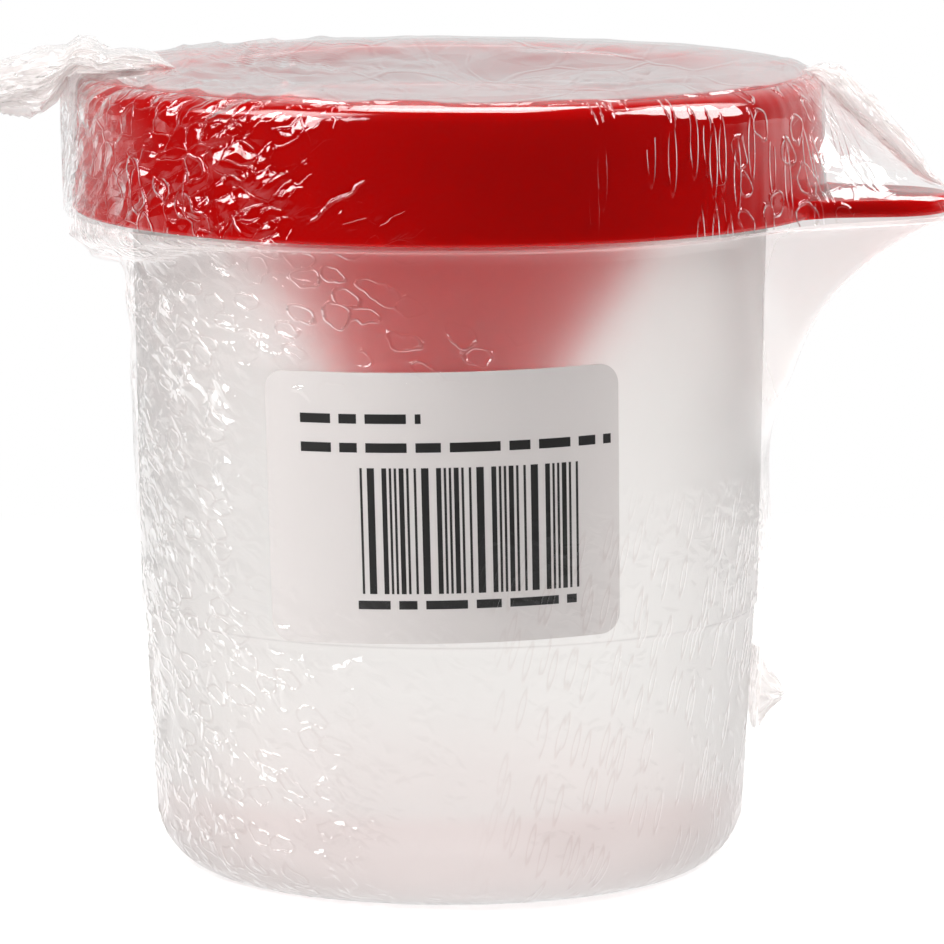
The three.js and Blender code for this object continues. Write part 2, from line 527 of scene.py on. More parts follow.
lidFinish = {
    "color": (0.36, 0.001, 0.0008, 1),
    # painted light: the funnel's lighter red, for light shining through its thin wall
    "paintedGlowColor": (0.64, 0.03, 0.036, 1),
    "paintedGlowEdge": (33.0, 36.0),
    "paintedGlowTop": (76.0, 79.5),
    "roughness": 0.12,
    "ior": 1.5,
    "glow": 1.0,
    "glowReach": (1.0, 0.08, 0.05),
    "glowDepth": 3.5,
    "ripple": (90.0, 3.0, 0.05, 0.3),
}


def lidMaterial(finish):
    material, tree = newMaterial("redPolypropylene")
    spot = objectSpot(tree)
    # painted light: the funnel is given a lighter red, standing in for the light its thin wall lets through,
    # more than the skirt
    flat = addNode(tree, "VectorMath", {"operation": "MULTIPLY"}, Vector=spot)
    flat.inputs[1].default_value = (1, 1, 0)
    beyondGlowEdge = fadeNode(tree, lengthOf(tree, flat.outputs[0]), metres(finish["paintedGlowEdge"]))
    high = fadeNode(tree, axesOf(tree, spot)["Z"], metres(finish["paintedGlowTop"]))
    outsideGlow = mathNode(tree, "MAXIMUM", beyondGlowEdge, high)
    plastic = addNode(
        tree,
        "BsdfPrincipled",
        Base_Color=mixNode(tree, "RGBA", outsideGlow, finish["paintedGlowColor"], finish["color"]),
        Roughness=finish["roughness"],
        IOR=finish["ior"],
        Subsurface_Weight=finish["glow"],
        Subsurface_Radius=finish["glowReach"],
        Subsurface_Scale=finish["glowDepth"] * mm,
        Normal=grainNormal(tree, spot, finish["ripple"]),
    )
    addNode(tree, "OutputMaterial", Surface=plastic.outputs[0])
    return material


def skirtRadiusAt(setup, height):
    bottom = setup["height"] - setup["skirtDepth"]
    return setup["radius"] - setup["draft"] * (height - bottom) / setup["skirtDepth"]


def tabBmesh(setup):
    # The tongue's outline lies flat, then it is extruded up and its long edges are eased
    radius = setup["radius"]
    steps = setup["tabSteps"]
    tip = setup["tabTipRadius"]
    half = setup["tabRootHalf"]
    tipCentre = radius + setup["tabReach"] - tip
    lean = math.atan2(half - tip, tipCentre - radius)
    tangentX = tipCentre + tip * math.sin(lean)
    tangentY = tip * math.cos(lean)
    rootRadius = radius - setup["wall"] / 2
    rootHalf = half + setup["tabRootFillet"]
    rootX = math.sqrt(rootRadius ** 2 - rootHalf ** 2)
    skirtX = math.sqrt(radius ** 2 - half ** 2)
    filletX = skirtX + setup["tabRootFillet"]

    def sideAt(x):
        return tangentY + (tangentX - x) * math.tan(lean)

    side = []
    for i in range(steps["side"] + 1):
        t = i / steps["side"]
        x = (1 - t) ** 2 * rootX + 2 * t * (1 - t) * skirtX + t * t * filletX
        y = (1 - t) ** 2 * rootHalf + 2 * t * (1 - t) * sideAt(skirtX) + t * t * sideAt(filletX)
        side.append((x, y))
    arc = []
    for i in range(2 * steps["tip"] + 1):
        angle = (quarterTurn - lean) * (1 - i / steps["tip"])
        arc.append((tipCentre + tip * math.cos(angle), tip * math.sin(angle)))
    outline = side + arc + [(x, -y) for x, y in reversed(side)]
    rootAngle = math.atan2(rootHalf, rootX)
    outline += [
        (rootRadius * math.cos(a), rootRadius * math.sin(a))
        for a in (rootAngle * (i / steps["root"] - 1) for i in range(1, 2 * steps["root"]))
    ]
    bottom = setup["height"] - setup["skirtDepth"]
    bm = bmesh.new()
    face = bm.faces.new([bm.verts.new((x * mm, y * mm, bottom * mm)) for x, y in outline])
    rise = bmesh.ops.extrude_face_region(bm, geom=[face])
    lifted = [item for item in rise["geom"] if isinstance(item, bmesh.types.BMVert)]
    bmesh.ops.translate(bm, verts=lifted, vec=(0, 0, setup["tabThickness"] * mm))
    bmesh.ops.recalc_face_normals(bm, faces=bm.faces)
    free = []
    for edge in bm.edges:
        flat = abs(edge.verts[0].co.z - edge.verts[1].co.z) < 0.01 * mm
        if flat and min(v.co.x for v in edge.verts) > (skirtX + setup["tabEdgeFrom"]) * mm:
            free.append(edge)
    easeCorners(bm, free, setup["tabEdge"], 3, "EDGES")
    return bm


def makeLid(setup, finish):
    top = setup["height"]
    bottom = top - setup["skirtDepth"]
    under = top - setup["topThickness"]
    wall = setup["wall"]
    beadBottom = setup["beadTop"] - setup["beadHeight"]
    beadSlope = (setup["beadHeight"] - setup["beadFlat"]) / 2
    spoutRadius = setup["throatRadius"] + setup["funnelWall"]
    run = setup["coneTopRadius"] - spoutRadius
    drop = setup["plugBottom"] - setup["spoutTop"]
    across = setup["funnelWall"] * math.hypot(run, drop) / drop
    shoulder = setup["plugBottom"] + wall
    shoulderRadius = spoutRadius + run / drop * (shoulder - setup["spoutTop"]) - across
    throatTop = setup["spoutTop"] + (setup["throatRadius"] + across - spoutRadius) * drop / run
    points = [
        (skirtRadiusAt(setup, bottom), bottom),
        (skirtRadiusAt(setup, top), top),
        (setup["plugRadius"] - wall, top),
        (setup["plugRadius"] - wall, shoulder),
        (shoulderRadius, shoulder),
        (setup["throatRadius"], throatTop),
        (setup["throatRadius"], setup["spoutBottom"]),
        (spoutRadius, setup["spoutBottom"]),
        (spoutRadius, setup["spoutTop"]),
        (setup["coneTopRadius"], setup["plugBottom"]),
        (setup["plugRadius"], setup["plugBottom"]),
        (setup["plugRadius"], under),
        (skirtRadiusAt(setup, under) - wall, under),
        (skirtRadiusAt(setup, setup["beadTop"]) - wall, setup["beadTop"]),
        (setup["beadRadius"], setup["beadTop"] - beadSlope),
        (setup["beadRadius"], beadBottom + beadSlope),
        (skirtRadiusAt(setup, beadBottom) - wall, beadBottom),
        (skirtRadiusAt(setup, bottom) - wall, bottom),
    ]
    roundings = [
        ([1], setup["cornerRadius"], 8),
        ([2], setup["mouthRounding"], 5),
        ([0], setup["edgeRounding"], 4),
        ([17], setup["innerRounding"], 2),
        ([3, 4, 5, 8, 9], setup["funnelRounding"], 3),
        ([6, 7, 10], setup["innerRounding"], 2),
        ([13, 14, 15, 16], setup["beadRounding"], 2),
    ]
    bm = spinProfile(points, roundings, setup["steps"], True)
    material = lidMaterial(finish)
    lid = finishMesh("lidShell", bm, material)
    tab = finishMesh("tabBlank", tabBmesh(setup), material)
    union = lid.modifiers.new("joinTab", "BOOLEAN")
    union.operation = "UNION"
    union.solver = "EXACT"
    union.object = tab
    bpy.context.view_layer.update()
    joined = bpy.data.meshes.new_from_object(lid.evaluated_get(bpy.context.evaluated_depsgraph_get()))
    lid.modifiers.clear()
    lid.data = joined
    joined.shade_smooth()
    joined.set_sharp_from_angle(angle=math.radians(sharpAngle))
    bpy.data.objects.remove(tab)
    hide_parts("lid")
    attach(lid, "lid_body")


makeLid(lidSetup, lidFinish)
print("lid ready")


# Label: a paper sticker wrapped round the wall, with plain ruled print
labelSetup = {
    "width": 38.1,
    "height": 28.2,
    "corner": 2.2,
    "lift": 0.15,
    "thickness": 0.15,
    "middle": 43.1,
    "turn": -85.3,
    "tilt": 1.3,
    "columns": 60,
    "sharp": 40,
}
labelFinish = {
    "paper": {
        "color": (0.65, 0.62, 0.61, 1),
        "roughness": 0.5,
        "grain": (1800.0, 3.0, 0.3, 0.05),
        "through": 0.2,
    },
    "ink": {
        "color": (0.018, 0.017, 0.017, 1),
        "roughness": 0.35,
        "grain": (1800.0, 3.0, 0.1, 0.05),
        "through": 0,
    },
    "throughColor": (0.92, 0.9, 0.89, 1),
}
# Plain ruled print that spells and codes nothing: rows of word bars (left, right, low, high)
printSetup = {
    "rows": [(-14.9, -2.0, 8.8, 9.8), (-14.9, 18.1, 5.8, 6.8), (-9.0, 14.0, -10.5, -9.6)],
    "wordLengths": (3.4, 1.9, 4.3, 2.6, 5.2, 2.2),
    "wordGap": 0.9,
    "barArea": (-8.5, 14.3, -8.9, 4.2),
    "barCount": 29,
    "barStep": 3,
    "spaceStep": 2,
    "barWidths": (1, 2, 1, 3, 1, 1, 2),
}


def wallRadiusAt(height):
    ringTop = cupSetup["ringHeight"] + cupSetup["ringStep"]
    rimUnder = cupSetup["rimTop"] - cupSetup["rimThickness"]
    share = (height - ringTop) / (rimUnder - ringTop)
    return cupSetup["ringRadius"] + (cupSetup["mouthRadius"] - cupSetup["ringRadius"]) * share


def labelMaterial(name, finish, throughColor):
    material, tree = newMaterial(name)
    sheet = addNode(
        tree,
        "BsdfPrincipled",
        Base_Color=finish["color"],
        Roughness=finish["roughness"],
        Normal=grainNormal(tree, objectSpot(tree), finish["grain"]),
    ).outputs[0]
    if finish["through"]:
        glow = addNode(tree, "BsdfTranslucent", Color=throughColor).outputs[0]
        sheet = mixShaders(tree, finish["through"], sheet, glow)
    addNode(tree, "OutputMaterial", Surface=sheet)
    return material


def wordBars(row, lengths, gap):
    left, right, low, high = row
    marks = []
    word = 0
    while left < right:
        end = min(right, left + lengths[word % len(lengths)])
        marks.append((left, end, low, high))
        left = end + gap
        word += 1
    return marks


def printMarks(setup):
    marks = []
    for row in setup["rows"]:
        marks += wordBars(row, setup["wordLengths"], setup["wordGap"])
    left, right, low, high = setup["barArea"]
    widths = setup["barWidths"]
    bars = [widths[i * setup["barStep"] % len(widths)] for i in range(setup["barCount"])]
    spaces = [widths[(i * setup["spaceStep"] + 1) % len(widths)] for i in range(setup["barCount"] - 1)]
    unit = (right - left) / (sum(bars) + sum(spaces))
    across = left
    for bar, space in zip(bars, spaces + [0]):
        marks.append((across, across + bar * unit, low, high))
        across += (bar + space) * unit
    return marks


def cutSheet(bm, places, direction):
    for place in places:
        bmesh.ops.bisect_plane(
            bm,
            geom=bm.verts[:] + bm.edges[:] + bm.faces[:],
            plane_co=(place * mm * direction[0], place * mm * direction[1], 0),
            plane_no=(direction[0], direction[1], 0),
        )


def makeLabel(setup, finish, marks):
    halfWidth = setup["width"] / 2 * mm
    halfHeight = setup["height"] / 2 * mm
    bm = bmesh.new()
    corners = [(-1, -1), (1, -1), (1, 1), (-1, 1)]
    verts = [bm.verts.new((x * halfWidth, y * halfHeight, 0)) for x, y in corners]
    bm.faces.new(verts)
    easeCorners(bm, verts, setup["corner"], 8)
    cuts = {round(edge, 3) for mark in marks for edge in mark[:2]}
    cuts |= {round(setup["width"] * (i / setup["columns"] - 0.5), 3) for i in range(1, setup["columns"])}
    cutSheet(bm, sorted(cuts), (1, 0))
    cutSheet(bm, sorted({round(edge, 3) for mark in marks for edge in mark[2:]}), (0, 1))
    for face in bm.faces:
        middle = face.calc_center_median() / mm
        for left, right, low, high in marks:
            if left < middle.x < right and low < middle.y < high:
                face.material_index = 1
    tilt = math.radians(setup["tilt"])
    turn = math.radians(setup["turn"])
    wrapRadius = (wallRadiusAt(setup["middle"]) + setup["lift"]) * mm
    bmesh.ops.recalc_face_normals(bm, faces=bm.faces)
    if sum(face.normal.z for face in bm.faces) < 0:
        bmesh.ops.reverse_faces(bm, faces=bm.faces)
    bmesh.ops.solidify(bm, geom=bm.faces[:], thickness=setup["thickness"] * mm)
    low = min(vert.co.z for vert in bm.verts)
    for vert in bm.verts:
        across, up, lift = vert.co
        height = setup["middle"] * mm + across * math.sin(tilt) + up * math.cos(tilt)
        angle = turn + (across * math.cos(tilt) - up * math.sin(tilt)) / wrapRadius
        radius = (wallRadiusAt(height / mm) + setup["lift"]) * mm + lift - low
        vert.co = (radius * math.cos(angle), radius * math.sin(angle), height)
    bmesh.ops.recalc_face_normals(bm, faces=bm.faces)
    paper = labelMaterial("labelPaper", finish["paper"], finish["throughColor"])
    ink = labelMaterial("labelInk", finish["ink"], finish["throughColor"])
    label = finishMesh("labelSheet", bm, paper, setup["sharp"])
    label.data.materials.append(ink)
    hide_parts("label")
    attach(label, "cup_body")


makeLabel(labelSetup, labelFinish, printMarks(printSetup))
print("label ready")


# Shrink wrap: clear film drawn tight round the closed pot. It only dresses the part.
# side is the angle round the pot from the photographer: -90 is the left edge, +90 the right edge.
filmFinish = {
    "tint": (0.985, 0.98, 0.978, 1),
    "shade": (0.7, 0.6, 0.58, 1),
    "roughness": 0.05,
    "mirror": {"straight": 0.032, "rise": 0.96, "power": 5.0},  # share mirrored by one face
    "milkBack": (0.38, 0.365, 0.36, 1),
    "dimples": (0.9, 1.5, 0.05),  # scale, detail, height
    "drift": (0.22, 2.0, 3.0),  # scale, detail, reach
    "patches": (0.08, 1.0),  # scale, detail
    "patchBand": (0.36, 0.56),
    "lumpTop": 0.36,
    "lumpSizes": (0.35, 0.65),
    "loopKeep": 0.7,
    "loopShade": 0.7,
    "pleatKeep": 0.6,
}
# The lean is how far the folds tilt from level.
# Facets are (along, across, height), and edge is the width and height of the crease between them.
# Lumps are (along, across, height, share kept, amount above, amount below), changing over lumpsFrom.
# Loop and pleat are rings: (along, across, radius, half width, height).
# Lid: angular facets that rise to the right, and pleats hanging from the top edge
hoodFolds = {
    "lean": -34,
    "facets": [(9.0, 4.0, 1.7), (3.2, 1.8, 0.5)],
    "edge": (0.06, 0.09),
    "lumps": [(2.4, 1.0, 0.4, 0.1, 1.0, 1.0)],
    "lumpsFrom": (200, 210),
    "loop": (3.6, 5.2, 0.3, 0.06, 0.24),
    "loopLean": -17,
    "pleat": (11.0, 1.7, 0.3, 0.1, 0.11),
    "pleatLean": 88,
    "pleatShade": 0.0,
    "patchy": (0.35, 1.0),
    "milk": (0.46, 0.442, 0.436, 1),
    "graze": 1.0,
    "cover": 1.0,
    "creases": [(-13.6, 53.2, -6.2, 47.0, 0.3, 0.3)],
}
# Cup: small pillows that fall to the right, with loops over the funnel and above the label
sleeveFolds = {
    "lean": 26,
    "facets": [(7.0, 3.2, 0.15)],
    "edge": (0.05, 0.03),
    "lumps": [(4.6, 2.1, 1.5, 0.36, 1.0, 0.3), (1.8, 1.2, 0.95, 0.42, 0.4, 1.0)],
    "lumpsFrom": (26, 44),
    "loop": (5.6, 2.6, 0.33, 0.08, 0.4),
    "loopLean": 13,
    "pleat": (6.5, 1.3, 0.3, 0.12, 0.12),
    "pleatLean": -74,
    "pleatShade": 0.35,
    "patchy": (0.35, 1.0),
    "milk": (0.62, 0.585, 0.57, 1),
    "graze": 0.92,
    "cover": 0.72,
    "creases": [
        (-33.8, 15.0, -26.6, 16.3, 0.5, 0.36),
        (-28.0, 16.0, -20.2, 18.1, 0.45, 0.34),
        (-20.4, 18.3, -16.6, 20.1, 0.4, 0.3),
        (-18.9, 22.0, -15.8, 22.8, 0.4, 0.3),
        (-39.0, 19.5, -33.5, 22.5, 0.45, 0.3),
    ],
}


def noiseNode(tree, place, scale, detail, output="Fac"):
    return addNode(tree, "TexNoise", Vector=place, Scale=scale, Detail=detail).outputs[output]


def turnedPlace(tree, place, angle, **inputs):
    inputs.update(Vector=place, Rotation=(0, 0, angle))
    return addNode(tree, "Mapping", {"vector_type": "TEXTURE"}, **inputs).outputs[0]


def cellNode(tree, place, size, lean, feature):
    # cells drawn out along one direction of the film
    stretched = turnedPlace(tree, place, math.radians(lean), Scale=(size[0], size[1], 1))
    kind = {"voronoi_dimensions": "2D", "feature": feature}
    return addNode(tree, "TexVoronoi", kind, Vector=stretched, Scale=1.0).outputs


def keptCells(tree, cells, keep):
    # 1 in a share of the cells, and a second random number for each cell
    pick = addNode(tree, "SeparateColor", Color=cells["Color"]).outputs
    return mathNode(tree, "LESS_THAN", pick[0], keep), pick[1]


def lumpNode(tree, place, lump, lean, finish):
    # flat-topped angular lumps that stand alone, one in each kept cell
    along, across, height, keep = lump
    cells = cellNode(tree, place, (along, across), lean, "F1")
    roof = cellNode(tree, place, (along, across), lean, "DISTANCE_TO_EDGE")["Distance"]
    rise = mathNode(tree, "MINIMUM", roof, finish["lumpTop"])
    kept, random = keptCells(tree, cells, keep)
    least, more = finish["lumpSizes"]
    return product(tree, rise, kept, total(tree, product(tree, random, more), least), height)


def ringNode(tree, place, ring, lean, keep):
    # closed loops, one round the middle of each kept cell
    along, across, radius, half, height = ring
    cells = cellNode(tree, place, (along, across), lean, "F1")
    kept = keptCells(tree, cells, keep)[0]
    return product(tree, ridgeNode(tree, cells["Distance"], radius, half), kept, height)


def creaseNode(tree, place, crease):
    # one long sharp crease between two points of the film
    across0, down0, across1, down1, width, height = crease
    half = math.hypot(across1 - across0, down1 - down0) / 2
    angle = math.atan2(down1 - down0, across1 - across0)
    axes = axesOf(tree, turnedPlace(tree, place, angle, Location=(across0, down0, 0)))
    ends = ridgeNode(tree, axes["X"], half, half)
    return product(tree, ridgeNode(tree, axes["Y"], 0.0, width), ends, height)


def filmRelief(tree, finish, folds, place, crumple, pleat, loops):
    scale, detail, reach = finish["drift"]
    wander = noiseNode(tree, place, scale, detail, "Color")
    bent = addNode(tree, "VectorMath", {"operation": "MULTIPLY_ADD"}, Vector=wander)
    bent.inputs[1].default_value = (reach, reach, reach)
    tree.links.new(place, bent.inputs[2])
    spot = bent.outputs[0]
    lift = 0.0
    for along, across, height in folds["facets"]:
        roof = cellNode(tree, spot, (along, across), folds["lean"], "DISTANCE_TO_EDGE")["Distance"]
        crease = product(tree, ridgeNode(tree, roof, 0.0, folds["edge"][0]), folds["edge"][1])
        lift = total(tree, lift, product(tree, roof, height), crease)
    # the lumps change size down the wall
    down = axesOf(tree, place)["Y"]
    for lump in folds["lumps"]:
        share = fadeNode(tree, down, folds["lumpsFrom"], lump[4:])
        lift = total(tree, lift, product(tree, lumpNode(tree, spot, lump[:4], folds["lean"], finish), share))
    scale, detail, height = finish["dimples"]
    lift = total(tree, lift, product(tree, noiseNode(tree, place, scale, detail), height))
    patches = fadeNode(tree, noiseNode(tree, place, *finish["patches"]), finish["patchBand"], folds["patchy"])
    lift = product(tree, lift, product(tree, crumple, patches))
    ring = ringNode(tree, spot, folds["loop"], folds["loopLean"], finish["loopKeep"])
    ring = product(tree, ring, loops)
    drip = ringNode(tree, place, folds["pleat"], folds["pleatLean"], finish["pleatKeep"])
    drip = product(tree, drip, pleat)
    creases = [creaseNode(tree, spot, crease) for crease in folds["creases"]]
    return total(tree, lift, ring, drip, *creases), ring, drip


def filmMaterial(name, finish, folds):
    material, tree = newMaterial(name)
    place = addNode(tree, "UVMap", {"uv_map": "filmMap"}).outputs[0]
    mask = addNode(tree, "Attribute", {"attribute_name": "filmMask"}).outputs
    crumple, pleat, haze = addNode(tree, "SeparateColor", Color=mask["Color"]).outputs
    lift, ring, drip = filmRelief(tree, finish, folds, place, crumple, pleat, mask["Alpha"])
    normal = addNode(tree, "Bump", Strength=1.0, Distance=1.0 * mm, Height=lift).outputs["Normal"]
    # the share of light that both faces of the film mirror, more at a grazing look
    facing = addNode(tree, "LayerWeight", Blend=0.5, Normal=normal).outputs["Facing"]
    mirror = finish["mirror"]
    graze = mathNode(tree, "POWER", mathNode(tree, "MINIMUM", facing, folds["graze"]), mirror["power"])
    single = total(tree, product(tree, graze, mirror["rise"]), mirror["straight"])
    both = mathNode(tree, "DIVIDE", product(tree, single, 2.0), total(tree, single, 1.0))
    # painted shade: the loops and pleats darken what shows through the film, where real folds bend the light
    # away
    loopShade = product(tree, ring, finish["loopShade"] / folds["loop"][4])
    pleatShade = product(tree, drip, folds["pleatShade"] / folds["pleat"][4])
    shade = mathNode(tree, "ADD", loopShade, pleatShade, clamp=True)
    clearColor = mixNode(tree, "RGBA", shade, finish["tint"], finish["shade"])
    clear = addNode(tree, "BsdfTransparent", Color=clearColor).outputs[0]
    scatter = addNode(tree, "BsdfDiffuse", Color=folds["milk"]).outputs[0]
    passed = addNode(tree, "BsdfTranslucent", Color=finish["milkBack"]).outputs[0]
    body = mixShaders(tree, haze, clear, addShaders(tree, scatter, passed))
    # the shine lies over the film and hides part of what is behind it
    behind = mixShaders(tree, product(tree, both, folds["cover"]), body)
    shine = addNode(tree, "BsdfGlossy", Color=both, Roughness=finish["roughness"], Normal=normal).outputs[0]
    addNode(tree, "OutputMaterial", Surface=addShaders(tree, behind, shine))
    return material


def tableAt(table, value):
    # rows of (position, value) with rising positions, joined by straight lines
    if value <= table[0][0]:
        return table[0][1]
    for (low, lowValue), (high, highValue) in zip(table, table[1:]):
        if value <= high:
            return lowValue + (highValue - lowValue) * (value - low) / (high - low)
    return table[-1][1]


def sideOf(azimuth):
    return (math.degrees(azimuth) + 90 - viewTurn + 180) % 360 - 180


def densePath(points, spacing):
    path = []
    for (r0, z0), (r1, z1) in zip(points, points[1:]):
        count = max(1, round(math.hypot(r1 - r0, z1 - z0) / spacing))
        path += [(r0 + (r1 - r0) * i / count, z0 + (z1 - z0) * i / count) for i in range(count)]
    return path + [points[-1]]


def creaseRise(spot, size, narrow=3.2):
    # sharp raised creases, from 1 on the crease down to 0 between them
    return max(0.0, 1 - narrow * abs(noise.noise(spot / size)))


def pointAt(azimuth, radius, height):
    return Vector((radius * math.cos(azimuth), radius * math.sin(azimuth), height))


# Unrolled film: the turn round the pot by the radius, and (across, deep, start) on the flat top
filmMap = {"turnRadius": 40, "flat": (0.34, 0.09, 300), "flatWithin": 38.2}
filmCuts = 3  # the spun strips are cut this often


def makeFilm(name, path, steps, shape, masksAt, body, material):
    # the path is spun, then shape(azimuth, radius, height, along) gives each point its place
    bm = bmesh.new()
    alongLayer = bm.verts.layers.float.new("along")
    along = 0.0
    verts = addWire(bm, path)
    for vert, (radius, height), (radius0, height0) in zip(verts, path, path[:1] + path):
        along += math.hypot(radius - radius0, height - height0)
        vert[alongLayer] = along
    spinRound(bm, steps // (filmCuts + 1))
    around = [e for e in bm.edges if abs(e.verts[0][alongLayer] - e.verts[1][alongLayer]) < 1e-4]
    bmesh.ops.subdivide_edges(bm, edges=around, cuts=filmCuts, use_grid_fill=True)
    closeSpin(bm)
    maskLayer = bm.verts.layers.float_color.new("filmMask")
    mapLayer = bm.loops.layers.uv.new("filmMap")
    flatAcross, flatDeep, flatDown = filmMap["flat"]
    for face in bm.faces:
        centre = face.calc_center_median()
        if name == "wrapHood" and math.hypot(centre.x, centre.y) < filmMap["flatWithin"] * mm:
            for loop in face.loops:
                place = loop.vert.co / mm
                loop[mapLayer].uv = (place.x * flatAcross, place.y * flatDeep + flatDown)
            continue
        middle = math.radians(sideOf(math.atan2(*centre.yx)))
        for loop in face.loops:
            turn = math.radians(sideOf(math.atan2(*loop.vert.co.yx)))
            turn += fullTurn * round((middle - turn) / fullTurn)
            loop[mapLayer].uv = (turn * filmMap["turnRadius"], loop.vert[alongLayer])
    for vert in bm.verts:
        radius = math.hypot(vert.co.x, vert.co.y) / mm
        height = vert.co.z / mm
        azimuth = math.atan2(vert.co.y, vert.co.x)
        vert[maskLayer] = masksAt(sideOf(azimuth), radius, height)
        vert.co = pointAt(azimuth, *shape(azimuth, radius, height, vert[alongLayer])) * mm
    film = finishMesh(name, bm, material, 0)
    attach(film, body)


# Film over the lid, with a tent drawn out over the lift tab. Ridges are long creases
# between two (side, height) points, with their half width and lift.
hoodSetup = {
    "steps": 512,
    "top": 85.3,
    "sag": 0.9,
    "drumRadius": 31,
    "side": 40.25,
    "cornerRadius": 3.2,
    "cornerSteps": 12,
    "bottom": 70.62,
    "spacing": (1.0, 0.5),
    "flatWithin": 38.0,
    "tabSpread": 14.0,
    "swellSize": 0.11,
    "topFold": {"from": (0, 30), "lift": (0.1, 0.3), "size": (12, -6), "deep": 0.4, "swell": 0.45},
    "sideFold": {"size": 6, "lift": 0.22, "swell": 0.3},
    "leftEdge": {"place": (-92, 34), "lift": 0.75, "swell": 0.5},
    "pleats": {"lift": 0.12, "around": 22, "down": 0.12, "seed": 3.0},
    "shoulder": {"lift": 0.35, "from": (82.5, 85)},
    "ridges": [
        (-22.3, 73.0, -11.8, 78.8, 0.55, 0.32),
        (-26, 75.2, -21, 76.6, 0.5, 0.2),
        (-5, 72.6, -1, 76.2, 0.5, 0.2),
    ],
    "ridgeDegree": 0.7,
    "reach": [
        (70.6, 54.3), (72.6, 54.1), (73.2, 52.9), (74.0, 50.7), (75.3, 49.3),
        (77.0, 47.3), (79.0, 44.9), (81.0, 42.6), (83.2, 40.6), (84.6, 39.6),
    ],
}
hoodZones = {
    "leftFrom": 14,
    "leftWiden": 7,
    "leftWidenBand": (79.5, 81.5),
    "leftBlend": 20,
    "leftEnd": (-160, -120),
    "cornerCalm": 0.6,
    "cornerHigh": (79, 81),
    "cornerSide": (-35, -27),
    "back": (100, 130),
    "backCrumple": 0.5,
    "lowSide": (-12, 16),
    "lowHigh": (77.5, 74),
    "lowCrumple": 0.32,
    "rightSide": (60, 74),
    "rightCrumple": 0.42,
    "pleatSide": (14, 26),
    "pleatEnd": (130, 100),
    "topRipple": (1.1, 1.7),
    "topRippleFrom": (0, 28),
    "topMilk": (0.08, 0.16),
    "topMilkFrom": (8, 34),
    "tent": (84, 14),
    "tentFoot": (74.5, 73),
    "tentRise": (72.3, 73.2),
    "tentMilk": (0.02, 0.12),
    "tentMilkFrom": (73.2, 76),
    "rightLoops": (58, 10),
    "leftLoops": (-48, 10),
    "leftLoopShare": 0.6,
    "leftMilkPlace": (-97, 20),
    "leftMilk": 0.3,
}


def leftwardOf(side, radius):
    return -radius * math.sin(math.radians(side))


def levelAt(levels, value, band):
    # the first level, and the second added as the value crosses the band
    return levels[0] + levels[1] * fade(value, band)


def tabTurnOf(azimuth):
    return abs((math.degrees(azimuth) + 180) % 360 - 180)


def ridgeLift(ridge, side, height):
    side0, height0, side1, height1, width, rise = ridge
    perDegree = hoodSetup["ridgeDegree"]
    along = Vector(((side1 - side0) * perDegree, height1 - height0))
    away = Vector(((side - side0) * perDegree, height - height0))
    share = min(1.0, max(0.0, away.dot(along) / along.length_squared))
    gap = (away - along * share).length
    return rise * max(0.0, 1 - gap / width) * (1 - abs(2 * share - 1) ** 4)


def hoodMasks(side, radius, height):
    # how strongly the film is crumpled, pleated, milky and looped
    zones = hoodZones
    if radius < hoodSetup["flatWithin"]:
        leftward = leftwardOf(side, radius)
        ripple = levelAt(zones["topRipple"], leftward, zones["topRippleFrom"])
        return (ripple, 0.0, levelAt(zones["topMilk"], leftward, zones["topMilkFrom"]), 0.0)
    start = zones["leftFrom"] - zones["leftWiden"] * fade(height, zones["leftWidenBand"])
    left = fade(-side, (start, start + zones["leftBlend"])) * fade(side, zones["leftEnd"])
    left *= 1 - zones["cornerCalm"] * fade(height, zones["cornerHigh"]) * fade(side, zones["cornerSide"])
    tent = hump(side, zones["tent"])
    offTab = 1 - tent * fade(height, zones["tentFoot"])
    back = zones["backCrumple"] * fade(abs(side), zones["back"])
    low = zones["lowCrumple"] * hump(side, zones["lowSide"]) * fade(height, zones["lowHigh"])
    right = zones["rightCrumple"] * fade(side, zones["rightSide"]) * offTab
    pleat = fade(side, zones["pleatSide"]) * fade(side, zones["pleatEnd"]) * offTab
    loops = hump(side, zones["rightLoops"]) + zones["leftLoopShare"] * hump(side, zones["leftLoops"])
    milk = tent * fade(height, zones["tentRise"]) * levelAt(zones["tentMilk"], height, zones["tentMilkFrom"])
    milk += zones["leftMilk"] * hump(side, zones["leftMilkPlace"])
    return (max(left, back, low, right), pleat, milk, loops)


def hoodShape(azimuth, radius, height, along):
    setup = hoodSetup
    side = sideOf(azimuth)
    spot = pointAt(azimuth, radius, height)
    noisy = noise.noise(spot * setup["swellSize"])
    swell = max(0.0, noisy)
    if radius < setup["flatWithin"]:
        fold = setup["topFold"]
        low = setup["sag"] * max(0.0, 1 - (radius / setup["drumRadius"]) ** 2)
        leftward = leftwardOf(side, radius)
        deep = Vector((spot.x, fold["deep"] * spot.y, spot.z))
        crease = creaseRise(deep, levelAt(fold["size"], leftward, fold["from"]))
        rise = levelAt(fold["lift"], leftward, fold["from"]) * crease
        return radius, height - low + rise + fold["swell"] * swell
    crumple, pleat = hoodMasks(side, radius, height)[:2]
    fold = setup["sideFold"]
    edge = setup["leftEdge"]
    pleats = setup["pleats"]
    shoulder = setup["shoulder"]
    lift = crumple * (fold["lift"] * creaseRise(spot, fold["size"]) + fold["swell"] * swell)
    lift += hump(side, edge["place"]) * (edge["lift"] + edge["swell"] * noisy)
    lift += sum(ridgeLift(ridge, side, height) for ridge in setup["ridges"])
    wave = Vector((math.radians(side) * pleats["around"], height * pleats["down"], pleats["seed"]))
    lift += pleats["lift"] * pleat * max(0.0, noise.noise(wave))
    reach = max(0.0, tableAt(setup["reach"], height) - setup["side"])
    lift += reach * hump(tabTurnOf(azimuth), (0, setup["tabSpread"]))
    return radius + lift, height + shoulder["lift"] * crumple * swell * fade(height, shoulder["from"])


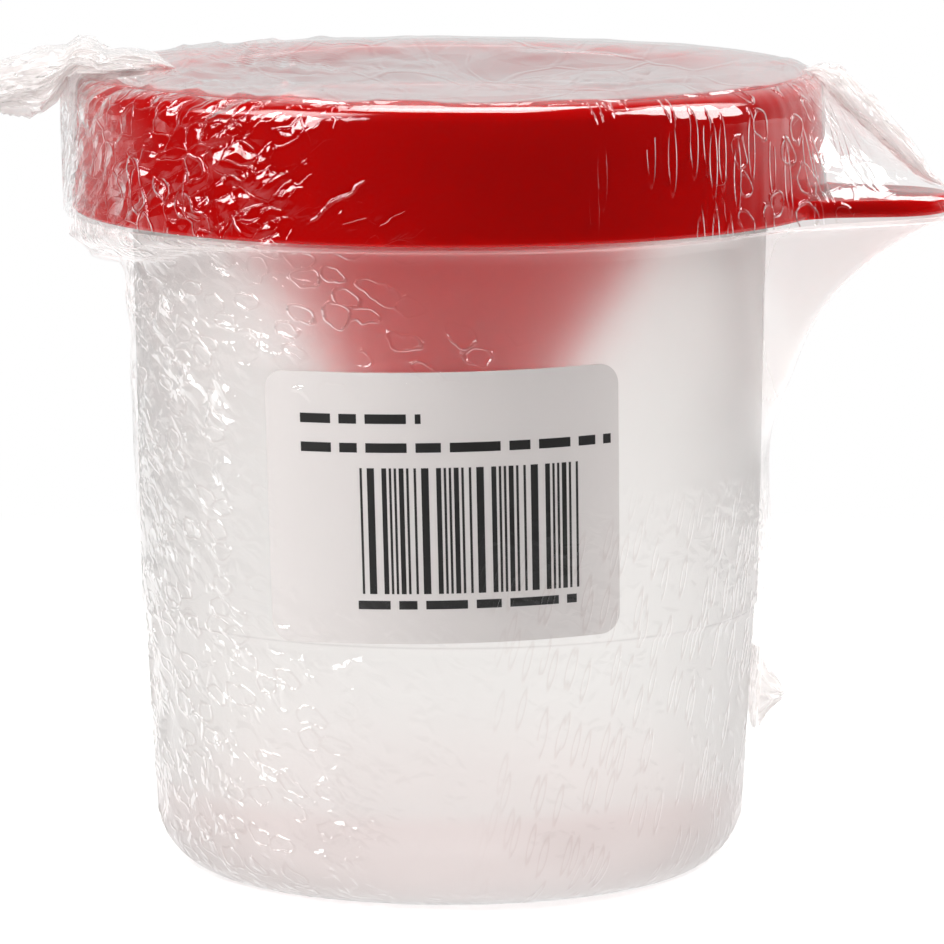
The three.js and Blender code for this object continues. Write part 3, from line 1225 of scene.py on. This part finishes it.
# Film round the cup: bridges in from the lid's edge, then lies on the wall and under the foot.
# The sag tables give (along the film, millimetres) outwards and downwards at the left.
sleeveSetup = {
    "steps": 512,
    "gap": 0.4,
    "cornerRadius": 6.6,
    "cornerSteps": 11,
    "wallTop": 60.5,
    "ringEdges": (28.6, 28.0),
    "floorGap": 0.1,
    "hemRadius": 22.3,
    "shoulder": [
        (40.3, 70.5), (40.15, 70.15), (39.2, 69.95), (37.2, 69.85),
        (35.6, 69.7), (34.4, 69.3), (34.0, 68.6), (33.95, 67.4),
    ],
    "sagOut": [
        (0, 0), (0.4, 0.5), (1.4, 1.1), (3.4, 1.7), (5.0, 2.0), (6.2, 1.5), (7.1, 0.7), (8.3, 0.3), (20, 0),
    ],
    "sagDown": [
        (0, 0), (0.4, 0.8), (1.4, 2.0), (3.4, 3.4), (5.0, 4.1), (6.2, 3.9), (7.1, 3.4), (8.3, 3.6), (20, 0),
    ],
    "sag": {"place": (-88, 34), "change": 0.35, "size": 0.15},
    "wallSag": {"lift": 0.3, "size": 0.2, "from": (28, 56)},
    "fold": {"size": 6.5, "lift": 0.12, "swell": 0.25, "swellSize": 0.12},
    "pressed": {"lift": 0.22, "from": (42, 58)},
    "loose": {"lift": 0.5, "more": 0.35, "foot": (4, 12), "above": (10, 16), "below": (45, 36)},
    "looseSide": ((60, 78), (115, 100)),
    "lowLeft": {"lift": 1.1, "size": 0.26, "side": (62, 78), "high": (40, 26)},
    "web": {"top": 54.3, "foot": 33.5, "start": 70.7, "fade": 8.3, "end": (44, 54), "spread": 13.0},
    "spacing": 0.6,
    "footFade": (0.2, 6),
    "edgeFade": (0, 1.2),
}
sleeveZones = {
    "leftFrom": 12,
    "leftShift": 18,
    "leftShiftBands": ((61, 56), (24, 30)),
    "leftBlend": 20,
    "leftEnd": (-175, -130),
    "back": (110, 140),
    "backCrumple": 0.6,
    "patch": ((-19, 9), (63.6, 4.5)),
    "patchCrumple": 0.15,
    "crown": ((-1, 9), (59.2, 1.7)),
    "lowRight": ((0, 18), (110, 80), (46, 36)),
    "lowRightCrumple": 0.3,
    "edge": ((62, 80), (120, 95), (44, 34)),
    "edgeCrumple": 0.45,
    "lowLeft": ((0.9, (-5, -30)), (0.4, (25, -5))),
    "lowLeftMost": 0.9,
    "lowLeftHigh": (36, 24),
    "web": (84, 16),
    "webHigh": (44, 56),
    "ledge": ((34.6, 36.5), (66, 69)),
    "right": ((28, 50), (130, 100)),
    "high": (46, 64),
    "leftMilk": (0.08, 0.1),
    "rightMilk": (0.06, 0.14),
    "webMilk": 0.42,
    "ledgeMilk": 0.1,
    "edgeMilk": 0.06,
    "lowLeftMilk": 0.1,
    "underWeb": ((72, 84), (120, 100), (60, 50)),
    "underWebMilk": 0.26,
    "pleatShare": 0.6,
    "loopShares": (1.3, 1.3, 0.25),
}


def zoneAt(bands, side, height):
    # starts, ends and rises over its three bands
    return fade(side, bands[0]) * fade(side, bands[1]) * fade(height, bands[2])


def sleevePath(setup):
    gap = setup["gap"]
    corner = setup["cornerRadius"]
    centre = cupSetup["baseRadius"] - corner
    wallTop = setup["wallTop"]
    ringTop, ringBottom = setup["ringEdges"]
    path = list(setup["shoulder"])
    path += [(wallRadiusAt(wallTop) + gap, wallTop), (cupSetup["ringRadius"] + gap, ringTop)]
    path += [(cupSetup["ringRadius"] - cupSetup["ringStep"] + gap, ringBottom)]
    drop = corner - setup["floorGap"]
    for i in range(setup["cornerSteps"] + 1):
        angle = quarterTurn * i / setup["cornerSteps"]
        path.append((centre + (corner + gap) * math.cos(angle), corner - drop * math.sin(angle)))
    path.append((setup["hemRadius"], setup["floorGap"]))
    return densePath(path, setup["spacing"])


def sleeveMasks(side, radius, height):
    zones = sleeveZones
    above, below = zones["leftShiftBands"]
    start = zones["leftFrom"] + zones["leftShift"] * fade(height, above) * fade(height, below)
    left = fade(-side, (start, start + zones["leftBlend"])) * fade(side, zones["leftEnd"])
    back = fade(abs(side), zones["back"])
    patch, crown = (hump(side, zones[name][0]) * hump(height, zones[name][1]) for name in ("patch", "crown"))
    lowRight = zoneAt(zones["lowRight"], side, height)
    edge = zoneAt(zones["edge"], side, height)
    lowLeft = sum(share * fade(side, band) for share, band in zones["lowLeft"])
    lowLeft = min(zones["lowLeftMost"], lowLeft)
    lowLeft *= fade(height, zones["lowLeftHigh"]) * fade(side, zones["leftEnd"])
    crumple = max(
        left,
        zones["backCrumple"] * back,
        zones["patchCrumple"] * patch,
        zones["edgeCrumple"] * edge,
        lowLeft,
        zones["lowRightCrumple"] * lowRight,
    )
    web = hump(side, zones["web"]) * fade(height, zones["webHigh"])
    ledge = fade(radius, zones["ledge"][0]) * fade(height, zones["ledge"][1])
    right = fade(side, zones["right"][0]) * fade(side, zones["right"][1])
    milk = levelAt(zones["leftMilk"], height, zones["high"]) * left
    milk += levelAt(zones["rightMilk"], height, zones["high"]) * right * (1 - web)
    milk += zones["webMilk"] * web + zones["ledgeMilk"] * ledge + zones["edgeMilk"] * edge
    milk += zones["lowLeftMilk"] * lowLeft + zones["underWebMilk"] * zoneAt(zones["underWeb"], side, height)
    loops = sum(share * zone for share, zone in zip(zones["loopShares"], (patch, crown, left)))
    return (crumple, zones["pleatShare"] * lowRight, milk, min(1.0, loops))


def sleeveShape(azimuth, radius, height, along):
    setup = sleeveSetup
    side = sideOf(azimuth)
    spot = pointAt(azimuth, radius, height)
    crumple = sleeveMasks(side, radius, height)[0]
    fold = setup["fold"]
    swell = max(0.0, noise.noise(spot * fold["swellSize"]))
    pressed = setup["pressed"]
    lift = crumple * (fold["lift"] * creaseRise(spot, fold["size"]) + fold["swell"] * swell)
    lift -= pressed["lift"] * fade(-side, pressed["from"])
    loose = setup["loose"]
    slack = loose["lift"] + loose["more"] * fade(height, loose["above"]) * fade(height, loose["below"])
    sideFrom, sideTo = setup["looseSide"]
    lift += slack * fade(height, loose["foot"]) * fade(side, sideFrom) * fade(side, sideTo)
    low = setup["lowLeft"]
    bumps = max(0.0, noise.noise(spot * low["size"]))
    lift += low["lift"] * fade(-side, low["side"]) * fade(height, low["high"]) * bumps
    drape = setup["sag"]
    bulge = hump(side, drape["place"])
    sag = bulge * (1 + drape["change"] * noise.noise(spot * drape["size"]))
    lift += sag * tableAt(setup["sagOut"], along)
    wall = setup["wallSag"]
    lift += wall["lift"] * bulge * (1 + noise.noise(spot * wall["size"])) * fade(height, wall["from"])
    lift *= fade(height, setup["footFade"]) * fade(along, setup["edgeFade"])
    web = setup["web"]
    reach = (web["top"] - web["foot"]) * math.exp((height - web["start"]) / web["fade"]) + web["foot"]
    out = max(0.0, reach - radius) * hump(tabTurnOf(azimuth), (0, web["spread"])) * fade(height, web["end"])
    return radius + lift + out, height - sag * tableAt(setup["sagDown"], along)


# Bunched film, twisted up by the heat: tables of (radius, value) along one direction from the axis.
# The tail stands out at the lid's left, the fin runs down the tent to the tab, the nub sits low on the right.
bunchSetup = {
    "wrapTailA": {
        "body": "lid_body",
        "azimuth": 186.0,
        "reach": (29.0, 51.8),
        "top": [
            (29, 85.5), (31, 86.6), (34, 87.2), (36.5, 86.9), (37.2, 87.9), (39.2, 88.2),
            (40.5, 87.2), (43.0, 87.0), (46.0, 86.2), (48.0, 85.4), (51.8, 84.4),
        ],
        "bottom": [
            (29, 85.3), (39.4, 85.3), (40.6, 84.0), (41.8, 82.0), (43.2, 80.5), (46, 80.6), (51.8, 81.2),
        ],
        "half": [(29, 3), (33, 8), (38, 10.5), (42, 9.5), (46, 8), (51.8, 5)],
        "crumple": 1.2,
        "grain": 1.0,
        "seed": 0,
        "rest": (40.3, 85.32),
        "masks": (1.0, 0.0, 0.4, 0.0),
    },
    "wrapFin": {
        "body": "lid_body",
        "azimuth": 0.0,
        "reach": (37.6, 52.4),
        "top": [
            (37.6, 85.6), (39.2, 86.2), (41.2, 85.9), (43.2, 83.9), (45.0, 82.4),
            (46.3, 80.8), (48.0, 79.0), (49.6, 76.8), (50.6, 74.9), (52.4, 73.8),
        ],
        "bottom": [
            (37.6, 85.2), (39.6, 84.4), (40.6, 83.0), (42.6, 80.8),
            (44.9, 78.8), (47.3, 76.6), (49.3, 75.0), (52.4, 73.0),
        ],
        "half": [(37.6, 1.2), (40, 2.2), (46, 2.0), (52.4, 0.8)],
        "crumple": 0.7,
        "grain": 2.2,
        "seed": 21,
        "rest": (0.0, 0.0),
        "masks": (1.0, 0.0, 0.62, 0.0),
    },
    "wrapNub": {
        "body": "cup_body",
        "azimuth": 6.0,
        "reach": (31.8, 35.8),
        "top": [(31.8, 24.0), (33.2, 22.9), (34.2, 20.8), (35.2, 19.3), (35.8, 18.7)],
        "bottom": [(31.8, 14.6), (33.2, 15.2), (34.4, 16.8), (35.3, 17.5), (35.8, 17.8)],
        "half": [(31.8, 3.2), (34.4, 2.0), (35.8, 0.8)],
        "crumple": 0.3,
        "grain": 2.6,
        "seed": 40,
        "rest": (0.0, 0.0),
        "masks": (1.0, 0.0, 0.6, 0.0),
    },
}
tailInside = {"name": "wrapTailB", "shrink": 0.28, "seed": 11}
bunchFolds = {
    "rings": (110, 64),
    "size": 1.1,
    "lumps": [(0.13, 2.6, 0.2), (0.4, 5, 0.1)],  # along, around, height
    "crease": (0.22, 3.4, 0.55),  # along, around, depth
    "closing": 1.6,  # how fast the bunch fills out from its ends
    "shift": (2, 5.0),
    "slant": (0.6, 0.5),  # the film's map across and down, by the place's depth
    "stretch": 1.4,
    "cover": 0.9,
}


def bunchNoise(place, seed, fold):
    radius, sideways, upward = place
    along, around, height = fold
    return height * noise.noise(Vector((radius * along, sideways * around, upward * around + seed)))


def makeBunch(name, setup, material, shrink, seed):
    folds = bunchFolds
    bm = bmesh.new()
    rings, levels = folds["rings"]
    bmesh.ops.create_uvsphere(bm, u_segments=rings, v_segments=levels, radius=1, calc_uvs=False)
    mapLayer = bm.loops.layers.uv.new("filmMap")
    maskLayer = bm.verts.layers.float_color.new("filmMask")
    turn = Matrix.Rotation(math.radians(setup["azimuth"]), 3, "Z")
    inner, outer = setup["reach"]
    restRadius, restHeight = setup["rest"]
    spread, depth = folds["shift"]
    for vert in bm.verts:
        spot = vert.co.copy()
        radius = inner + (outer - inner) * (spot.x + 1) / 2
        low = tableAt(setup["bottom"], radius)
        high = tableAt(setup["top"], radius)
        ring = math.hypot(spot.y, spot.z) or 1
        sideways, upward = spot.y / ring, spot.z / ring
        place = (radius * setup["grain"], sideways, upward)
        swell = folds["size"] + sum(bunchNoise(place, seed, fold) for fold in folds["lumps"])
        swell -= abs(bunchNoise(place, seed, folds["crease"]))
        swell *= (1 - shrink) * min(1.0, folds["closing"] * ring)
        across = sideways * tableAt(setup["half"], radius) * swell
        height = (low + high) / 2 + upward * (high - low) / 2 * swell
        radius += setup["crumple"] * noise.noise(Vector((spot.y * spread, spot.z * spread, depth + seed)))
        if radius < restRadius:
            height = max(height, restHeight)
        vert.co = turn @ (Vector((radius, across, height)) * mm)
        vert[maskLayer] = setup["masks"]
    slantAcross, slantDown = folds["slant"]
    for face in bm.faces:
        for loop in face.loops:
            place = loop.vert.co / mm
            down = place.z * folds["stretch"] + slantDown * place.y
            loop[mapLayer].uv = (place.x + slantAcross * place.y, down)
    bmesh.ops.recalc_face_normals(bm, faces=bm.faces)
    bunch = finishMesh(name, bm, material, 0)
    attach(bunch, setup["body"])


def hoodPath(setup):
    side = setup["side"]
    top = setup["top"]
    corner = setup["cornerRadius"]
    steps = setup["cornerSteps"]
    topSpacing, sideSpacing = setup["spacing"]
    path = densePath([(0, top), (setup["drumRadius"], top), (side - corner, top)], topSpacing)[:-1]
    for i in range(steps + 1):
        angle = quarterTurn * i / steps
        path.append((side - corner + corner * math.sin(angle), top - corner + corner * math.cos(angle)))
    return path[:-1] + densePath([path[-1], (side, setup["bottom"])], sideSpacing)


def makeWrap():
    hoodFilm = filmMaterial("lidFilm", filmFinish, hoodFolds)
    sleeveFilm = filmMaterial("cupFilm", filmFinish, sleeveFolds)
    path = hoodPath(hoodSetup)
    makeFilm("wrapHood", path, hoodSetup["steps"], hoodShape, hoodMasks, "lid_body", hoodFilm)
    path = sleevePath(sleeveSetup)
    makeFilm("wrapSleeve", path, sleeveSetup["steps"], sleeveShape, sleeveMasks, "cup_body", sleeveFilm)
    bunchLook = {**hoodFolds, "cover": bunchFolds["cover"], "creases": []}
    bunchFilm = filmMaterial("bunchFilm", filmFinish, bunchLook)
    for name, setup in bunchSetup.items():
        makeBunch(name, setup, bunchFilm, 0.0, setup["seed"])
    inside = tailInside
    makeBunch(inside["name"], bunchSetup["wrapTailA"], bunchFilm, inside["shrink"], inside["seed"])


makeWrap()
print("shrink wrap ready")
